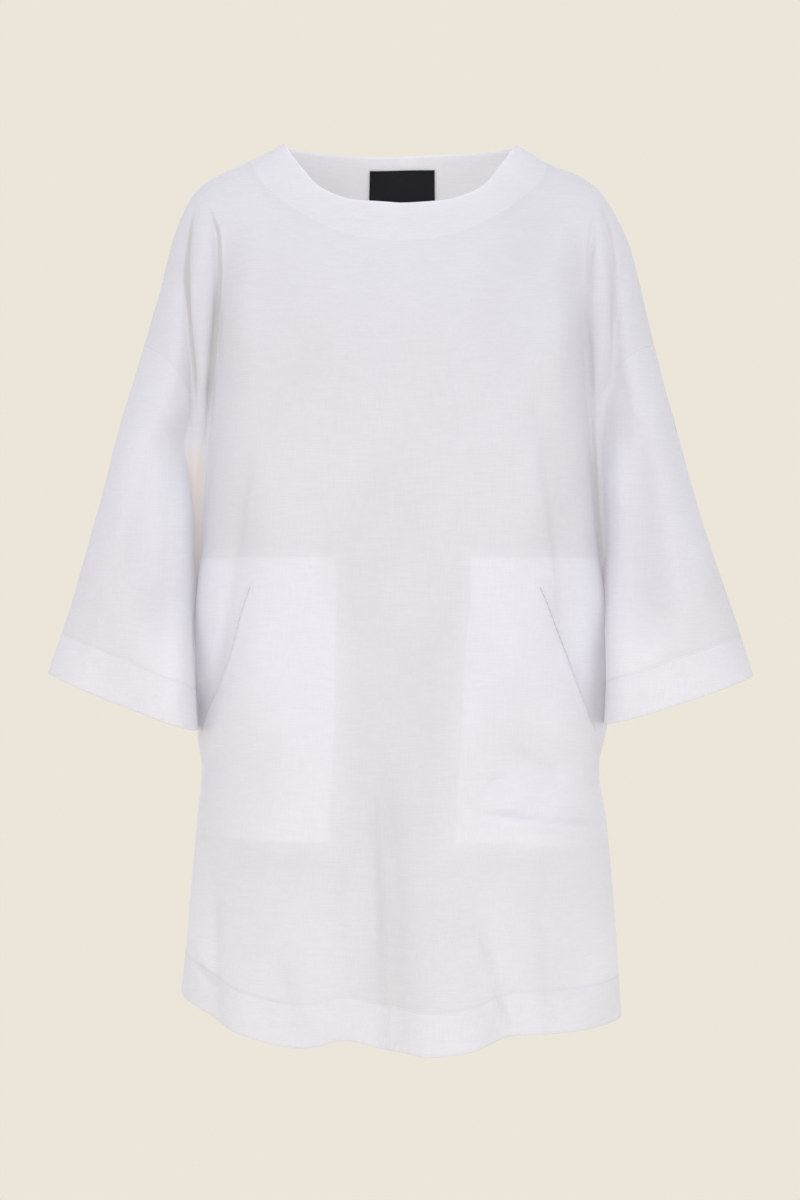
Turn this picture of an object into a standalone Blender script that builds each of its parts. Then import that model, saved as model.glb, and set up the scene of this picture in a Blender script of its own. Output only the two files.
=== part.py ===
"""A filled-out linen tunic top with wide elbow-length sleeves, piece by piece as it is cut and sewn.

Metres, +Z up. The front faces -Y and +X is the viewer's right. The origin lies between the shoulders,
at the height of the two neck points, where the wearer's shoulders hold the garment up.
The tables are in millimetres: "across" is a distance from the centre line to either side, and z is a
height. Every panel is read from one pair of surfaces, the garment's front and its back, so that pieces
meet edge to edge at their seams, and whatever lies on a panel is its surface moved inwards.
"""

import bpy
import numpy as np

MM = 0.001

# Cloth
PANEL = 1.2
FACING = 1.0
LABEL = 1.0
SEAM_GAP = 0.3
LAYER_GAP = 0.3

# Cut
FACING_WIDTH = 40.0
UNDERARM_Z = -430.0
CUFF_OUTER_Z = {-1: -508.0, 1: -511.0}
CUFF_INNER_Z = {-1: -563.0, 1: -557.0}
POCKET_TOP = -400.0
POCKET_BOTTOM = -664.0
MOUTH_TOP = -424.0
MOUTH_END = -570.0
MOUTH_WIDTH = 2.4
BAG_PAST_MOUTH = 13.0
BAG_SLACK = 2.6
FACING_ROOM = 1.4
FACING_TURN_ROOM = 1.6
LABEL_SIZE = (66.0, 46.0)
LABEL_CENTRE = 2.0
LABEL_TOP = -13.0

# Rounding of the shoulders, from the neck out to the arm
NECK_ROUND = {-1: 150.0, 1: 80.0}
SHOULDER_ROUND = 60.0
ARM_LEAST = 12.0
LEAN = 0.96
SQUARENESS = 0.78
SHOULDER_TURN = (172.0, 226.0)

# Mesh
COLUMNS = 30
SHOULDER_SHARE = 7 / 30
LOWER_ROWS = 8
UPPER_ROWS = 18
SLEEVE_ROWS = 7
NECK_COLUMNS = 20
NECK_ROWS = 3
BAG_GRID = (8, 11)
LABEL_GRID = (4, 3)
MOUTH_STEPS = 9


def table(columns, *rows):
    """A short table as its named columns."""
    return {name: np.array(values, float) for name, values in zip(columns.split(), zip(*rows))}


# Outer line of shoulders and sleeves, neck point to cuff
OUTLINE = table(
    "z left right",
    (0, 113, 113),
    (-10, 129, 129),
    (-19, 149, 144.5),
    (-26, 168, 164),
    (-36, 187, 183),
    (-50, 201, 197),
    (-72, 212.5, 209),
    (-100, 222, 222),
    (-135, 230.5, 231.5),
    (-178, 241.5, 241.5),
    (-235, 257, 255.5),
    (-300, 275, 272.5),
    (-360, 291, 288.5),
    (-410, 305, 304.5),
    (-455, 317.5, 319.5),
    (-510, 335.5, 336),
    (-560, 350, 351),
)

# The shoulder lines carried on over the neck opening
ROOF = table(
    "across front back",
    (0, 50, 58),
    (30, 41, 45),
    (60, 27, 28),
    (90, 12.5, 12.5),
    (113, 0, 0),
)

# The fold between body and sleeve, and below the underarm the two edges that it parts into
VALLEY = table(
    "z left_sleeve left_body right_body right_sleeve",
    (-60, 196, 184, 187, 194),
    (-95, 202, 171, 179, 201),
    (-130, 205, 170, 177, 205),
    (-175, 200, 174, 176.5, 203),
    (-225, 195, 178, 179, 201),
    (-255, 194, 183, 181, 192),
    (-290, 203, 185, 185, 190),
    (-350, 200, 189, 189.5, 194.5),
    (-400, 199, 192.5, 193, 197.5),
    (-430, 197, 196, 196.5, 197.5),
    (-460, 199, 198, 198.5, 199.5),
    (-505, 197, 198.5, 200, 198),
    (-540, 194, 197, 200, 196),
    (-563, 193, 196, 199, 195),
    (-598, 193, 192.5, 192.5, 195),
    (-656, 193, 197.5, 201, 195),
    (-730, 193, 204, 207.5, 195),
    (-816, 193, 210.5, 213, 195),
    (-860, 193, 212, 214.5, 195),
)

# Depth before and behind the seams: at the panel's middle, by the fold, in the fold and on the arm
DEPTHS = table(
    "z front front_edge front_floor front_arm back back_edge back_floor back_arm",
    (0, 72, 60, 58, 60, 70, 58, 56, 58),
    (-60, 78, 62, 57, 61, 86, 64, 58, 60),
    (-120, 98, 70, 56, 63, 98, 72, 57, 62),
    (-200, 116, 88, 53, 66, 103, 84, 54, 65),
    (-290, 125, 98, 42, 68, 101, 94, 44, 66),
    (-370, 128, 104, 24, 68, 98, 94, 24, 64),
    (-430, 131, 110, 20, 66, 97, 94, 20, 62),
    (-560, 147, 126, 20, 66, 92, 90, 20, 62),
    (-700, 152, 136, 20, 66, 104, 100, 20, 62),
    (-860, 160, 146, 20, 66, 124, 118, 20, 62),
)

# The middle surface that the side and shoulder seams lie on
MIDDLE = table(
    "z body sleeve",
    (0, 0, 0),
    (-200, 0, -2),
    (-350, 5, -18),
    (-430, 10, -28),
    (-500, 14, -38),
    (-563, 16, -43),
    (-700, 16, -43),
    (-860, 11, -43),
)

# How wide the round of the body's edge is, and how soft the fold's corner
EDGE = table(
    "z width arm_width soft flap",
    (-60, 40, 30, 6, 0),
    (-95, 32, 20, 4, 4),
    (-175, 30, 18, 3, 7),
    (-225, 36, 24, 4, 5),
    (-255, 44, 28, 4, 0),
    (-350, 78, 28, 3, 0),
    (-430, 140, 34, 0, 0),
    (-500, 165, 40, 0, 0),
    (-860, 178, 40, 0, 0),
)

# Armhole seams, underarm to shoulder tip
ARMHOLE = table(
    "left left_z right right_z",
    (196.5, -430, 197, -430),
    (195.5, -390, 195, -390),
    (194, -350, 191.5, -350),
    (192, -310, 188.5, -310),
    (187, -283, 185, -275),
    (192, -263, 188, -250),
    (200, -244, 199, -236),
    (215, -219, 213, -213),
    (230, -205, 229, -202),
    (246, -195, 246, -195),
)

# Neck edge and the facing's outer edge, shoulder seam to centre
NECK = table(
    "front front_z front_facing front_facing_z back back_z back_facing back_facing_z",
    (113, 0, 149, -19, 113, 0, 149, -19),
    (105, -12, 139, -41, 107, -1, 139, -33),
    (94, -28, 121, -60, 97, -1, 121, -38),
    (75, -50, 92, -81, 78, -1, 90, -40),
    (40, -63.5, 50, -97, 42, -1, 47, -41),
    (0, -66.5, 0, -102, 0, -1, 0, -41),
)

# Front and back hem edges
HEM = table(
    "x front back",
    (-210.5, -816, -816),
    (-184, -826, -823),
    (-150, -842, -834),
    (-90, -851, -848),
    (-50, -843, -853),
    (-6, -853, -856),
    (27, -857, -857),
    (66, -853, -856),
    (111, -840, -852),
    (150, -841, -847),
    (214, -839, -839),
)

# Inner edges and slanted mouths of the pockets
POCKET = table(
    "z left_inner left_mouth right_mouth right_inner",
    (-400, 59, 118, 114, 65),
    (-422, 59, 136, 127, 65),
    (-447, 59, 146, 139, 64.5),
    (-491, 59.5, 158, 156.5, 60),
    (-520, 60, 171, 167, 58.5),
    (-546, 60, 183, 177.5, 57),
    (-577, 61, 191, 188, 55.5),
    (-664, 66, 197, 200, 50.5),
)

# Largest soft folds: heights, three places along each, and depth (a ridge is negative)
FOLDS = table(
    "face top bottom x_top x_mid x_bottom depth width",
    (-1, -300, -580, -143, -158, -186, 7, 17),
    (-1, -210, -500, 118, 150, 158, 7, 17),
    (-1, -560, -870, -16, -8, -3, 9, 15),
    (-1, -700, -870, 66, 76, 98, 8, 15),
    (-1, -640, -870, 30, 34, 40, -6, 30),
    (-1, -700, -870, -172, -172, -172, 5, 14),
    (1, -130, -620, -40, -52, -60, 6, 26),
    (1, -150, -700, 52, 66, 78, 7, 24),
    (1, -480, -870, -104, -112, -118, 8, 22),
    (1, -520, -870, 10, 16, 20, 8, 24),
    (1, -560, -870, 126, 132, 138, 7, 20),
    (-1, -300, -545, -236, -262, -282, 4, 16),
    (-1, -250, -500, 222, 226, 232, 4, 14),
    (1, -240, -545, -222, -238, -262, 5, 16),
    (1, -240, -545, 226, 244, 268, 5, 16),
)


def read(source, column, at, key="z"):
    """Reads a column smoothly between its rows, never beyond the values of two neighbours."""
    keys, values = source[key], source[column]
    if keys[0] > keys[-1]:
        keys, values = keys[::-1], values[::-1]
    at = np.clip(at, keys[0], keys[-1])
    step = np.diff(keys)
    rise = np.diff(values) / step
    slope = np.zeros_like(values)
    turning = rise[:-1] * rise[1:] <= 0
    total = np.where(turning, 1, rise[:-1] + rise[1:])
    slope[1:-1] = np.where(turning, 0, 2 * rise[:-1] * rise[1:] / total)
    slope[0], slope[-1] = rise[0], rise[-1]
    row = np.clip(np.searchsorted(keys, at, side="right") - 1, 0, len(step) - 1)
    t = (at - keys[row]) / step[row]
    start = values[row] * (1 + 2 * t) + step[row] * slope[row] * t
    end = values[row + 1] * (3 - 2 * t) - step[row] * slope[row + 1] * (1 - t)
    return start * (1 - t) ** 2 + end * t**2


def sided(source, name, x, z):
    """A column pair read for points on either side of the centre line."""
    return np.where(x < 0, read(source, "left" + name, z), read(source, "right" + name, z))


def mix(a, b, share):
    return a + (b - a) * share


def ramp(value, start, end):
    """0 before start, 1 after end, smooth between."""
    share = np.clip((value - start) / (end - start), 0, 1)
    return share * share * (3 - 2 * share)


def quarter(share):
    """Height of a quarter ellipse: 0 at its foot, 1 from its middle on."""
    return np.sqrt(1 - (1 - np.clip(share, 0, 1)) ** 2)


def soften(distance, corner):
    """A distance that leaves zero gently, over about one corner."""
    distance = np.maximum(distance, 0)
    return np.sqrt(distance**2 + corner**2) - corner


def side_of(face):
    return "front" if face < 0 else "back"


def roof(x, face):
    """Height of the outline above a place across, carried on over the neck opening."""
    across = np.abs(x)
    fine = np.linspace(OUTLINE["z"][0], OUTLINE["z"][-1], 1121)
    left, right = (np.interp(across, read(OUTLINE, name, fine), fine) for name in ("left", "right"))
    over_neck = read(ROOF, side_of(face), across, "across")
    return np.where(across < OUTLINE["left"][0], over_neck, np.where(x < 0, left, right))


def inside_outline(x, z, face):
    """Distance from the shoulder line above, and further out from the sleeve's line beside."""
    step = 6.0
    above = roof(x, face) - z
    fall = (roof(x + step, face) - roof(x - step, face)) / (2 * step)
    beside = sided(OUTLINE, "", x, z) - np.abs(x)
    lean = (sided(OUTLINE, "", x, z + step) - sided(OUTLINE, "", x, z - step)) / (2 * step)
    above = above / np.sqrt(1 + fall**2)
    beside = beside / np.sqrt(1 + lean**2)
    return mix(above, beside, ramp(np.abs(x), *SHOULDER_TURN))


def fold_floor(z, face):
    """Depth of the fold between body and sleeve, which rises as an arch from the underarm."""
    arch = quarter((z - UNDERARM_Z) / 60)
    return arch * read(DEPTHS, side_of(face) + "_floor", z)


def folds(x, z, face):
    """Sum of the soft folds on one face, each a trough that fades out above and below."""
    total = np.zeros(np.broadcast(x, z).shape)
    for n in range(len(FOLDS["face"])):
        row = {name: values[n] for name, values in FOLDS.items()}
        if row["face"] != face:
            continue
        t = np.clip((row["top"] - z) / (row["top"] - row["bottom"]), 0, 1)
        bend = 2 * row["x_mid"] - (row["x_top"] + row["x_bottom"]) / 2
        line = (1 - t) ** 2 * row["x_top"] + 2 * t * (1 - t) * bend + t**2 * row["x_bottom"]
        fade = ramp(t, 0, 0.35) * (1 - ramp(t, 0.75, 1) * (row["bottom"] > -800))
        total += row["depth"] * fade * np.exp(-(((x - line) / row["width"]) ** 2))
    return total


def rise_from(floor, full, share):
    """From the fold's floor up to the full depth, with the floor felt only close to the fold."""
    own = np.maximum(full**4 - floor**4, 0) ** 0.25 * share
    return (own**4 + floor**4) ** 0.25


def on_the_arm(x, z, sleeve):
    """Which places lie past the fold, or below the underarm on the sleeve that is asked for."""
    body_edge, sleeve_edge = sided(VALLEY, "_body", x, z), sided(VALLEY, "_sleeve", x, z)
    return np.where(z < UNDERARM_Z, sleeve, np.abs(x) > (body_edge + sleeve_edge) / 2)


def depth(x, z, face, sleeve=False):
    """How far the cloth stands off the middle surface, towards the front or the back."""
    name = side_of(face)
    across = np.abs(x)
    body_edge, sleeve_edge = sided(VALLEY, "_body", x, z), sided(VALLEY, "_sleeve", x, z)
    half_sleeve = np.maximum(LEAN * (sided(OUTLINE, "", x, z) - sleeve_edge) / 2, ARM_LEAST)
    middle, edge = read(DEPTHS, name, z), read(DEPTHS, name + "_edge", z)
    floor = fold_floor(z, face)
    body = middle - (middle - edge) * np.clip(across / body_edge, 0, 1) ** 2.2
    arm = read(DEPTHS, name + "_arm", z)
    soft = read(EDGE, "soft", z)
    body_wall = quarter(soften(body_edge - across, soft) / read(EDGE, "width", z)) ** SQUARENESS
    arm_wall = quarter(soften(across - sleeve_edge, soft) / read(EDGE, "arm_width", z)) ** SQUARENESS
    on_arm = on_the_arm(x, z, sleeve)
    form = rise_from(floor, np.where(on_arm, arm, body), np.where(on_arm, arm_wall, body_wall))
    strip = np.clip((across - body_edge) / np.maximum(sleeve_edge - body_edge, 1), 0, 1)
    form = form + read(EDGE, "flap", z) * np.sin(np.pi * strip)
    near = np.minimum(form / 40, 1)
    form = form - near * folds(x, z, face)
    rounding = mix(NECK_ROUND[face], SHOULDER_ROUND, ramp(across, 100, 200))
    rounding = mix(rounding, half_sleeve, ramp(-z, 180, 320))
    return form * quarter(inside_outline(x, z, face) / rounding)


def middle_y(x, z, sleeve=False):
    """The middle surface's place in Y: below the shoulder the sleeves swing forward of the sides."""
    past = np.abs(x) - sided(VALLEY, "_sleeve", x, z)
    swing = 1 - (1 - ramp(past, 0, 70)) * (1 - ramp(-z, -UNDERARM_Z, 500))
    swing = np.where(on_the_arm(x, z, sleeve), swing, 0)
    return mix(read(MIDDLE, "body", z), read(MIDDLE, "sleeve", z), swing)


def surface(x, z, face, gap=SEAM_GAP, sleeve=False):
    """Points of the garment's outer face and the directions out of it."""
    step = 0.5
    y = face * depth(x, z, face, sleeve)
    slopes = []
    for dx, dz in ((step, 0), (0, step)):
        ahead, behind = (x + dx, z + dz), (x - dx, z - dz)
        rise = depth(*ahead, face, sleeve) ** 2 - depth(*behind, face, sleeve) ** 2
        drift = middle_y(*ahead, sleeve) - middle_y(*behind, sleeve)
        slopes.append(-(rise + 2 * y * drift) / (2 * step))
    out = np.stack([slopes[0], 2 * y, slopes[1]], axis=-1)
    out /= np.linalg.norm(out, axis=-1, keepdims=True) + 1e-12
    points = np.stack([x, middle_y(x, z, sleeve) + y + face * gap / 2, z], axis=-1)
    return points, out


def along_path(source, across, height, share):
    """Points at even shares of the length of a line through a table's rows."""
    line = np.stack([source[across], source[height]], axis=-1)
    length = np.concatenate([[0], np.cumsum(np.linalg.norm(np.diff(line, axis=0), axis=1))])
    measured = {"length": length, "across": line[:, 0], "height": line[:, 1]}
    at = np.asarray(share) * length[-1]
    return read(measured, "across", at, "length"), read(measured, "height", at, "length")


def even_ends(count):
    """Shares from 0 to 1 that crowd towards both ends."""
    return (1 - np.cos(np.pi * np.arange(count + 1) / count)) / 2


def top_edge(face, share):
    """The panel's upper edge: left shoulder seam, neck edge, right shoulder seam."""
    name = side_of(face)
    x, z = np.zeros(len(share)), np.zeros(len(share))
    for n, s in enumerate(share):
        side = -1 if s < 0.5 else 1
        to_tip = min(s, 1 - s)
        if to_tip < SHOULDER_SHARE:
            tip_z = ARMHOLE["left_z"][-1]
            steepness = (1 - to_tip / SHOULDER_SHARE) ** 1.35
            z[n] = tip_z * steepness
            x[n] = side * read(OUTLINE, "left" if side < 0 else "right", z[n])
        else:
            to_centre = (to_tip - SHOULDER_SHARE) / (0.5 - SHOULDER_SHARE)
            across, z[n] = along_path(NECK, name, name + "_z", to_centre)
            x[n] = side * across
    return x, z


def panel_view(face):
    """Front-view places of a panel's mesh: columns left to right, rows hem to shoulder."""
    name = side_of(face)
    even = np.arange(COLUMNS + 1) / COLUMNS
    crowded = even_ends(COLUMNS)
    ends = HEM["x"][0], HEM["x"][-1]
    hem_x = mix(ends[0], ends[1], crowded)
    hem_z = read(HEM, name, hem_x, "x")
    rows_x, rows_z = [], []
    lower = [0, FACING_WIDTH / 2, FACING_WIDTH]
    for n in range(len(lower) + LOWER_ROWS):
        if n < len(lower):
            share = lower[n] / (UNDERARM_Z - hem_z)
        else:
            first = FACING_WIDTH / (UNDERARM_Z - hem_z)
            share = mix(first, 1, (n + 1 - len(lower)) / LOWER_ROWS)
        z = mix(hem_z, UNDERARM_Z, share)
        left = -read(VALLEY, "left_body", z[0])
        right = read(VALLEY, "right_body", z[-1])
        if n == len(lower) + LOWER_ROWS - 1:
            left, right = -ARMHOLE["left"][0], ARMHOLE["right"][0]
        rows_x.append(mix(left, right, crowded))
        rows_z.append(z)
    top_x, top_z = top_edge(face, even)
    chord_x, chord_z = mix(top_x[0], top_x[-1], even), mix(top_z[0], top_z[-1], even)
    for share in even_ends(UPPER_ROWS)[1:]:
        left_x, left_z = along_path(ARMHOLE, "left", "left_z", share)
        right_x, right_z = along_path(ARMHOLE, "right", "right_z", share)
        blend = mix(crowded, even, share)
        rows_x.append(mix(-left_x, right_x, blend) + share * (top_x - chord_x))
        rows_z.append(mix(left_z, right_z, blend) + share * (top_z - chord_z))
    return np.array(rows_x).T, np.array(rows_z).T


def open_seam(points, out, inner):
    """Draws a seam's edge points back along the cloth by half the seam gap."""
    run = np.gradient(points, axis=0)
    aside = np.cross(out, run)
    aside /= np.linalg.norm(aside, axis=1, keepdims=True) + 1e-12
    aside *= np.sign(np.sum(aside * (inner - points), axis=1, keepdims=True))
    return points + aside * SEAM_GAP * 0.8


def panel_surface(face):
    """A body panel's outer points and directions: its shoulder edges lie on the middle surface and
    its armhole edges are drawn back for the seams."""
    x, z = panel_view(face)
    points, out = surface(x, z, face)
    shoulder = np.abs(x[:, -1]) >= OUTLINE["left"][0]
    points[shoulder, -1, 1] = (middle_y(x, z) + face * SEAM_GAP / 2)[shoulder, -1]
    out[shoulder, -1, 1] = 0
    out /= np.linalg.norm(out, axis=-1, keepdims=True)
    underarm = x.shape[1] - 1 - UPPER_ROWS
    for edge, inner in ((0, 1), (-1, -2)):
        seam = slice(underarm, None)
        points[edge, seam] = open_seam(points[edge, seam], out[edge, seam], points[inner, seam])
    return points, out


def sleeve_inner(side, z):
    """The sleeve's inner line: down the middle of the fold, then along the sleeve's own edge."""
    name = "left" if side < 0 else "right"
    own = read(VALLEY, name + "_sleeve", z)
    shared = (own + read(VALLEY, name + "_body", z)) / 2
    return np.where(z < UNDERARM_Z, own, shared)


def sleeve_surface(side):
    """A sleeve's outer points and directions: rings of columns, shoulder tip round to the underarm
    and back, and rows from the armhole to the cuff."""
    name = "left" if side < 0 else "right"
    ring = np.arange(2 * UPPER_ROWS)
    share = (1 - np.cos(np.pi * ring / UPPER_ROWS)) / 2
    seam_x, seam_z = along_path(ARMHOLE, name, name + "_z", 1 - share)
    cuff_outer = read(OUTLINE, name, CUFF_OUTER_Z[side])
    cuff_x = mix(cuff_outer, sleeve_inner(side, CUFF_INNER_Z[side]), share)
    cuff_z = mix(CUFF_OUTER_Z[side], CUFF_INNER_Z[side], share)

    def place(x, z):
        inner = sleeve_inner(side, z)
        return (x - inner) / (read(OUTLINE, name, z) - inner)

    seam_place, cuff_place = place(seam_x, seam_z), place(cuff_x, cuff_z)
    length = np.hypot(seam_x - cuff_x, seam_z - cuff_z)
    up = [np.zeros(len(ring)), FACING_WIDTH / 2 / length, FACING_WIDTH / length]
    up += [mix(up[2], 1, n / SLEEVE_ROWS) for n in range(1, SLEEVE_ROWS + 1)]
    up = np.array(up[::-1]).T
    z = mix(cuff_z[:, None], seam_z[:, None], up)
    inner = sleeve_inner(side, z)
    spot = mix(cuff_place[:, None], seam_place[:, None], up)
    x = side * (inner + spot * (read(OUTLINE, name, z) - inner))
    front, front_out = surface(x, z, -1, gap=0, sleeve=True)
    back, back_out = surface(x, z, 1, gap=0, sleeve=True)
    behind = (ring > UPPER_ROWS)[:, None, None]
    points, out = np.where(behind, back, front), np.where(behind, back_out, front_out)
    run = np.roll(points[:, 0], -1, axis=0) - np.roll(points[:, 0], 1, axis=0)
    aside = np.cross(out[:, 0], run)
    aside /= np.linalg.norm(aside, axis=1, keepdims=True) + 1e-12
    aside *= np.sign(np.sum(aside * (points[:, 1] - points[:, 0]), axis=1, keepdims=True))
    points[:, 0] += aside * SEAM_GAP * 0.8
    return points, out


def wall(points, out, start, thickness, closed=False):
    """Vertices and triangles of a cloth wall that lies from start to start + thickness inside a grid
    of points. A closed grid joins its last column to its first."""
    columns, rows = points.shape[:2]
    start = np.broadcast_to(np.asarray(start, float), (columns, rows))[..., None]
    vertices = np.concatenate([(points - start * out), (points - (start + thickness) * out)])
    vertices = vertices.reshape(-1, 3)
    inside = columns * rows

    def at(column, row):
        return (column % columns) * rows + row

    triangles = []

    def quad(a, b, c, d):
        triangles.extend([(a, b, c), (a, c, d)])

    last = columns if closed else columns - 1
    for i in range(last):
        for j in range(rows - 1):
            a, b, c, d = at(i, j), at(i + 1, j), at(i + 1, j + 1), at(i, j + 1)
            quad(a, b, c, d)
            triangles.extend([(a + inside, c + inside, b + inside), (a + inside, d + inside, c + inside)])
        quad(at(i + 1, 0), at(i, 0), at(i, 0) + inside, at(i + 1, 0) + inside)
        top = rows - 1
        quad(at(i, top), at(i + 1, top), at(i + 1, top) + inside, at(i, top) + inside)
    if not closed:
        for j in range(rows - 1):
            quad(at(0, j), at(0, j + 1), at(0, j + 1) + inside, at(0, j) + inside)
            end = columns - 1
            quad(at(end, j + 1), at(end, j), at(end, j) + inside, at(end, j + 1) + inside)
    return vertices, np.array(triangles)


def material(name, colour, roughness):
    made = bpy.data.materials.new(name)
    made.use_nodes = True
    shader = made.node_tree.nodes["Principled BSDF"]
    shader.inputs["Base Color"].default_value = (*colour, 1)
    shader.inputs["Roughness"].default_value = roughness
    shader.inputs["Metallic"].default_value = 0
    return made


def solid(name, shape, finish):
    """A named object from a wall's vertices and triangles, with its faces turned outwards."""
    vertices, triangles = shape
    vertices = vertices * MM
    a, b, c = (vertices[triangles[:, n]] for n in range(3))
    if np.sum(a * np.cross(b, c)) < 0:
        triangles = triangles[:, ::-1]
    mesh = bpy.data.meshes.new(name)
    mesh.from_pydata(vertices.tolist(), [], triangles.tolist())
    mesh.update()
    mesh.shade_smooth()
    mesh.materials.append(finish)
    made = bpy.data.objects.new(name, mesh)
    bpy.context.scene.collection.objects.link(made)
    return made


def hem_rows(points, out, rows):
    """The rows of a panel's or sleeve's grid that its hem facing lies under."""
    return points[:, rows], out[:, rows]


def neck_facing(face):
    """A facing that follows the neck edge, with a little more room where the shoulder turns."""
    name = side_of(face)
    share = 1 - np.abs(np.linspace(-1, 1, NECK_COLUMNS + 1))
    side = np.where(np.arange(NECK_COLUMNS + 1) * 2 < NECK_COLUMNS, -1, 1)
    edge_x, edge_z = along_path(NECK, name, name + "_z", share)
    outer_x, outer_z = along_path(NECK, name + "_facing", name + "_facing_z", share)
    down = np.linspace(0.01, 1, NECK_ROWS + 1)
    x = side[:, None] * mix(edge_x[:, None], outer_x[:, None], down)
    z = mix(edge_z[:, None], outer_z[:, None], down)
    for end in (0, -1):
        z[end] = roof(x[end], face)
    points, out = surface(x, z, face)
    room = FACING_ROOM + FACING_TURN_ROOM * (1 - ramp(share, 0, 0.4))
    return wall(points, out, PANEL + room[:, None], FACING)


def bag_outer(side, z):
    """Outer edge of a pocket bag: just past the slanted mouth, then just inside the side seam."""
    name = "left" if side < 0 else "right"
    mouth = read(POCKET, name + "_mouth", z) + BAG_PAST_MOUTH
    return np.minimum(mouth, read(VALLEY, name + "_body", z) - 4)


def pocket_bag(side):
    """One layer behind the front, sewn down along its inner edge and hanging a little clear of it."""
    name = "left" if side < 0 else "right"
    columns, rows = BAG_GRID
    z = np.linspace(POCKET_BOTTOM, POCKET_TOP, rows + 1)[None, :]
    inner, outer = read(POCKET, name + "_inner", z), bag_outer(side, z)
    share = np.sin(np.pi / 2 * np.linspace(0, 1, columns + 1))[:, None]
    x = side * mix(inner, outer, share)
    points, out = surface(x, np.broadcast_to(z, x.shape), -1)
    slack = 0.6 + BAG_SLACK * ramp(share, 0, 0.35) * np.ones_like(x)
    return wall(points, out, PANEL + slack, FACING)


def label():
    """The plain label inside the back facing."""
    width, height = LABEL_SIZE
    x = LABEL_CENTRE + np.linspace(-width / 2, width / 2, LABEL_GRID[0] + 1)
    z = np.linspace(LABEL_TOP, LABEL_TOP - height, LABEL_GRID[1] + 1)
    x, z = np.meshgrid(x, z, indexing="ij")
    points, out = surface(x, z, 1)
    return wall(points, out, PANEL + FACING_ROOM + FACING + 2 * LAYER_GAP, LABEL)


def mouth_cutter(side):
    """A thin curved blade through the front along a pocket's slanted mouth."""
    name = "left" if side < 0 else "right"
    z = np.linspace(MOUTH_END, MOUTH_TOP, MOUTH_STEPS + 1)
    x = side * read(POCKET, name + "_mouth", z)
    points, out = surface(x, z, -1)
    run = np.gradient(points, axis=0)
    aside = np.cross(out, run)
    aside *= MOUTH_WIDTH / 2 / np.linalg.norm(aside, axis=1, keepdims=True)
    grid = np.stack([points - aside, points + aside])
    blade = solid("mouth_cutter", wall(grid, np.stack([out, out]), -4, 8), None)
    blade.hide_render = True
    blade.display_type = "WIRE"
    return blade


def cut_mouths(front):
    for side in (-1, 1):
        cut = front.modifiers.new("pocket_mouth", "BOOLEAN")
        cut.operation = "DIFFERENCE"
        cut.solver = "EXACT"
        cut.object = mouth_cutter(side)


def build():
    for old in list(bpy.data.objects):
        bpy.data.objects.remove(old, do_unlink=True)
    linen = material("linen", (0.76, 0.755, 0.79), 0.85)
    facing = material("facing_linen", (0.8, 0.79, 0.83), 0.85)
    black = material("label_weave", (0.017, 0.019, 0.022), 0.6)
    for face in (-1, 1):
        name = side_of(face)
        points, out = panel_surface(face)
        panel = solid(name, wall(points, out, 0, PANEL), linen)
        if face < 0:
            cut_mouths(panel)
        band, band_out = hem_rows(points, out, slice(0, 3))
        solid("hem_facing_" + name, wall(band, band_out, PANEL + LAYER_GAP, FACING), facing)
        solid("neck_facing_" + name, neck_facing(face), facing)
    for side, name in ((-1, "left"), (1, "right")):
        points, out = sleeve_surface(side)
        solid("sleeve_" + name, wall(points, out, 0, PANEL, closed=True), linen)
        band, band_out = hem_rows(points, out, slice(-3, None))
        hem = wall(band, band_out, PANEL + LAYER_GAP, FACING, closed=True)
        solid("sleeve_hem_" + name, hem, facing)
        solid("pocket_bag_" + name, pocket_bag(side), facing)
    solid("label", label(), black)


build()
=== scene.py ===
"""Looks of the linen tunic top: thin cloth shells on the solids' own form, with their folds, edges,
stitching and weave, under soft studio light. Millimetres in the tables, metres in the meshes."""

import math

import bpy
import numpy as np
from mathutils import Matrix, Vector


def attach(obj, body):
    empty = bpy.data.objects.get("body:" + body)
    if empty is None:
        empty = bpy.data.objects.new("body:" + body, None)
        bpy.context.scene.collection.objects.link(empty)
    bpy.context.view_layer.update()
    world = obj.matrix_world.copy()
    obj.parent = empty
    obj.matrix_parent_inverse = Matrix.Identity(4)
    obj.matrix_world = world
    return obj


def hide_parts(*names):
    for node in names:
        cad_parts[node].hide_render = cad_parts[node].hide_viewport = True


MM = 0.001

# Cloth and cut, as in the solids
PANEL = 1.2
SEAM_GAP = 0.3
FACING_WIDTH = 40.0
UNDERARM_Z = -430.0
CUFF_OUTER_Z = {-1: -508.0, 1: -511.0}
CUFF_INNER_Z = {-1: -563.0, 1: -557.0}
POCKET_TOP = -400.0
POCKET_BOTTOM = -664.0
MOUTH_TOP = -424.0
MOUTH_END = -570.0
BAG_PAST_MOUTH = 13.0
LABEL_SIZE = (66.0, 46.0)
LABEL_CENTRE = 2.0
LABEL_TOP = -13.0

# Rounding of the shoulders, from the neck out to the arm
NECK_ROUND = {-1: 150.0, 1: 80.0}
SHOULDER_ROUND = 60.0
ARM_LEAST = 12.0
LEAN = 0.96
SQUARENESS = 0.78
SHOULDER_TURN = (172.0, 226.0)

# Mesh
COLUMNS = 180
SHOULDER_SHARE = 7 / 30
HEM_STEPS = 12
LOWER_ROWS = 110
UPPER_ROWS = 130
SLEEVE_ROWS = 84
NECK_COLUMNS = 150
NECK_ROWS = 22
BAG_GRID = (40, 66)
LABEL_GRID = (34, 24)
ROLL = 0.9

# Base colours of painted shade: the shade in folds, creases and tucks, and the warm-tinted shade painted in the
# strip between the fold's edges
FOLD_SHADE_COLOUR = (0.52, 0.49, 0.48)
GAP_SHADE_COLOUR = (0.87, 0.81, 0.755)
SLUB_SHADE = (0.87, 0.87, 0.87)
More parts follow.
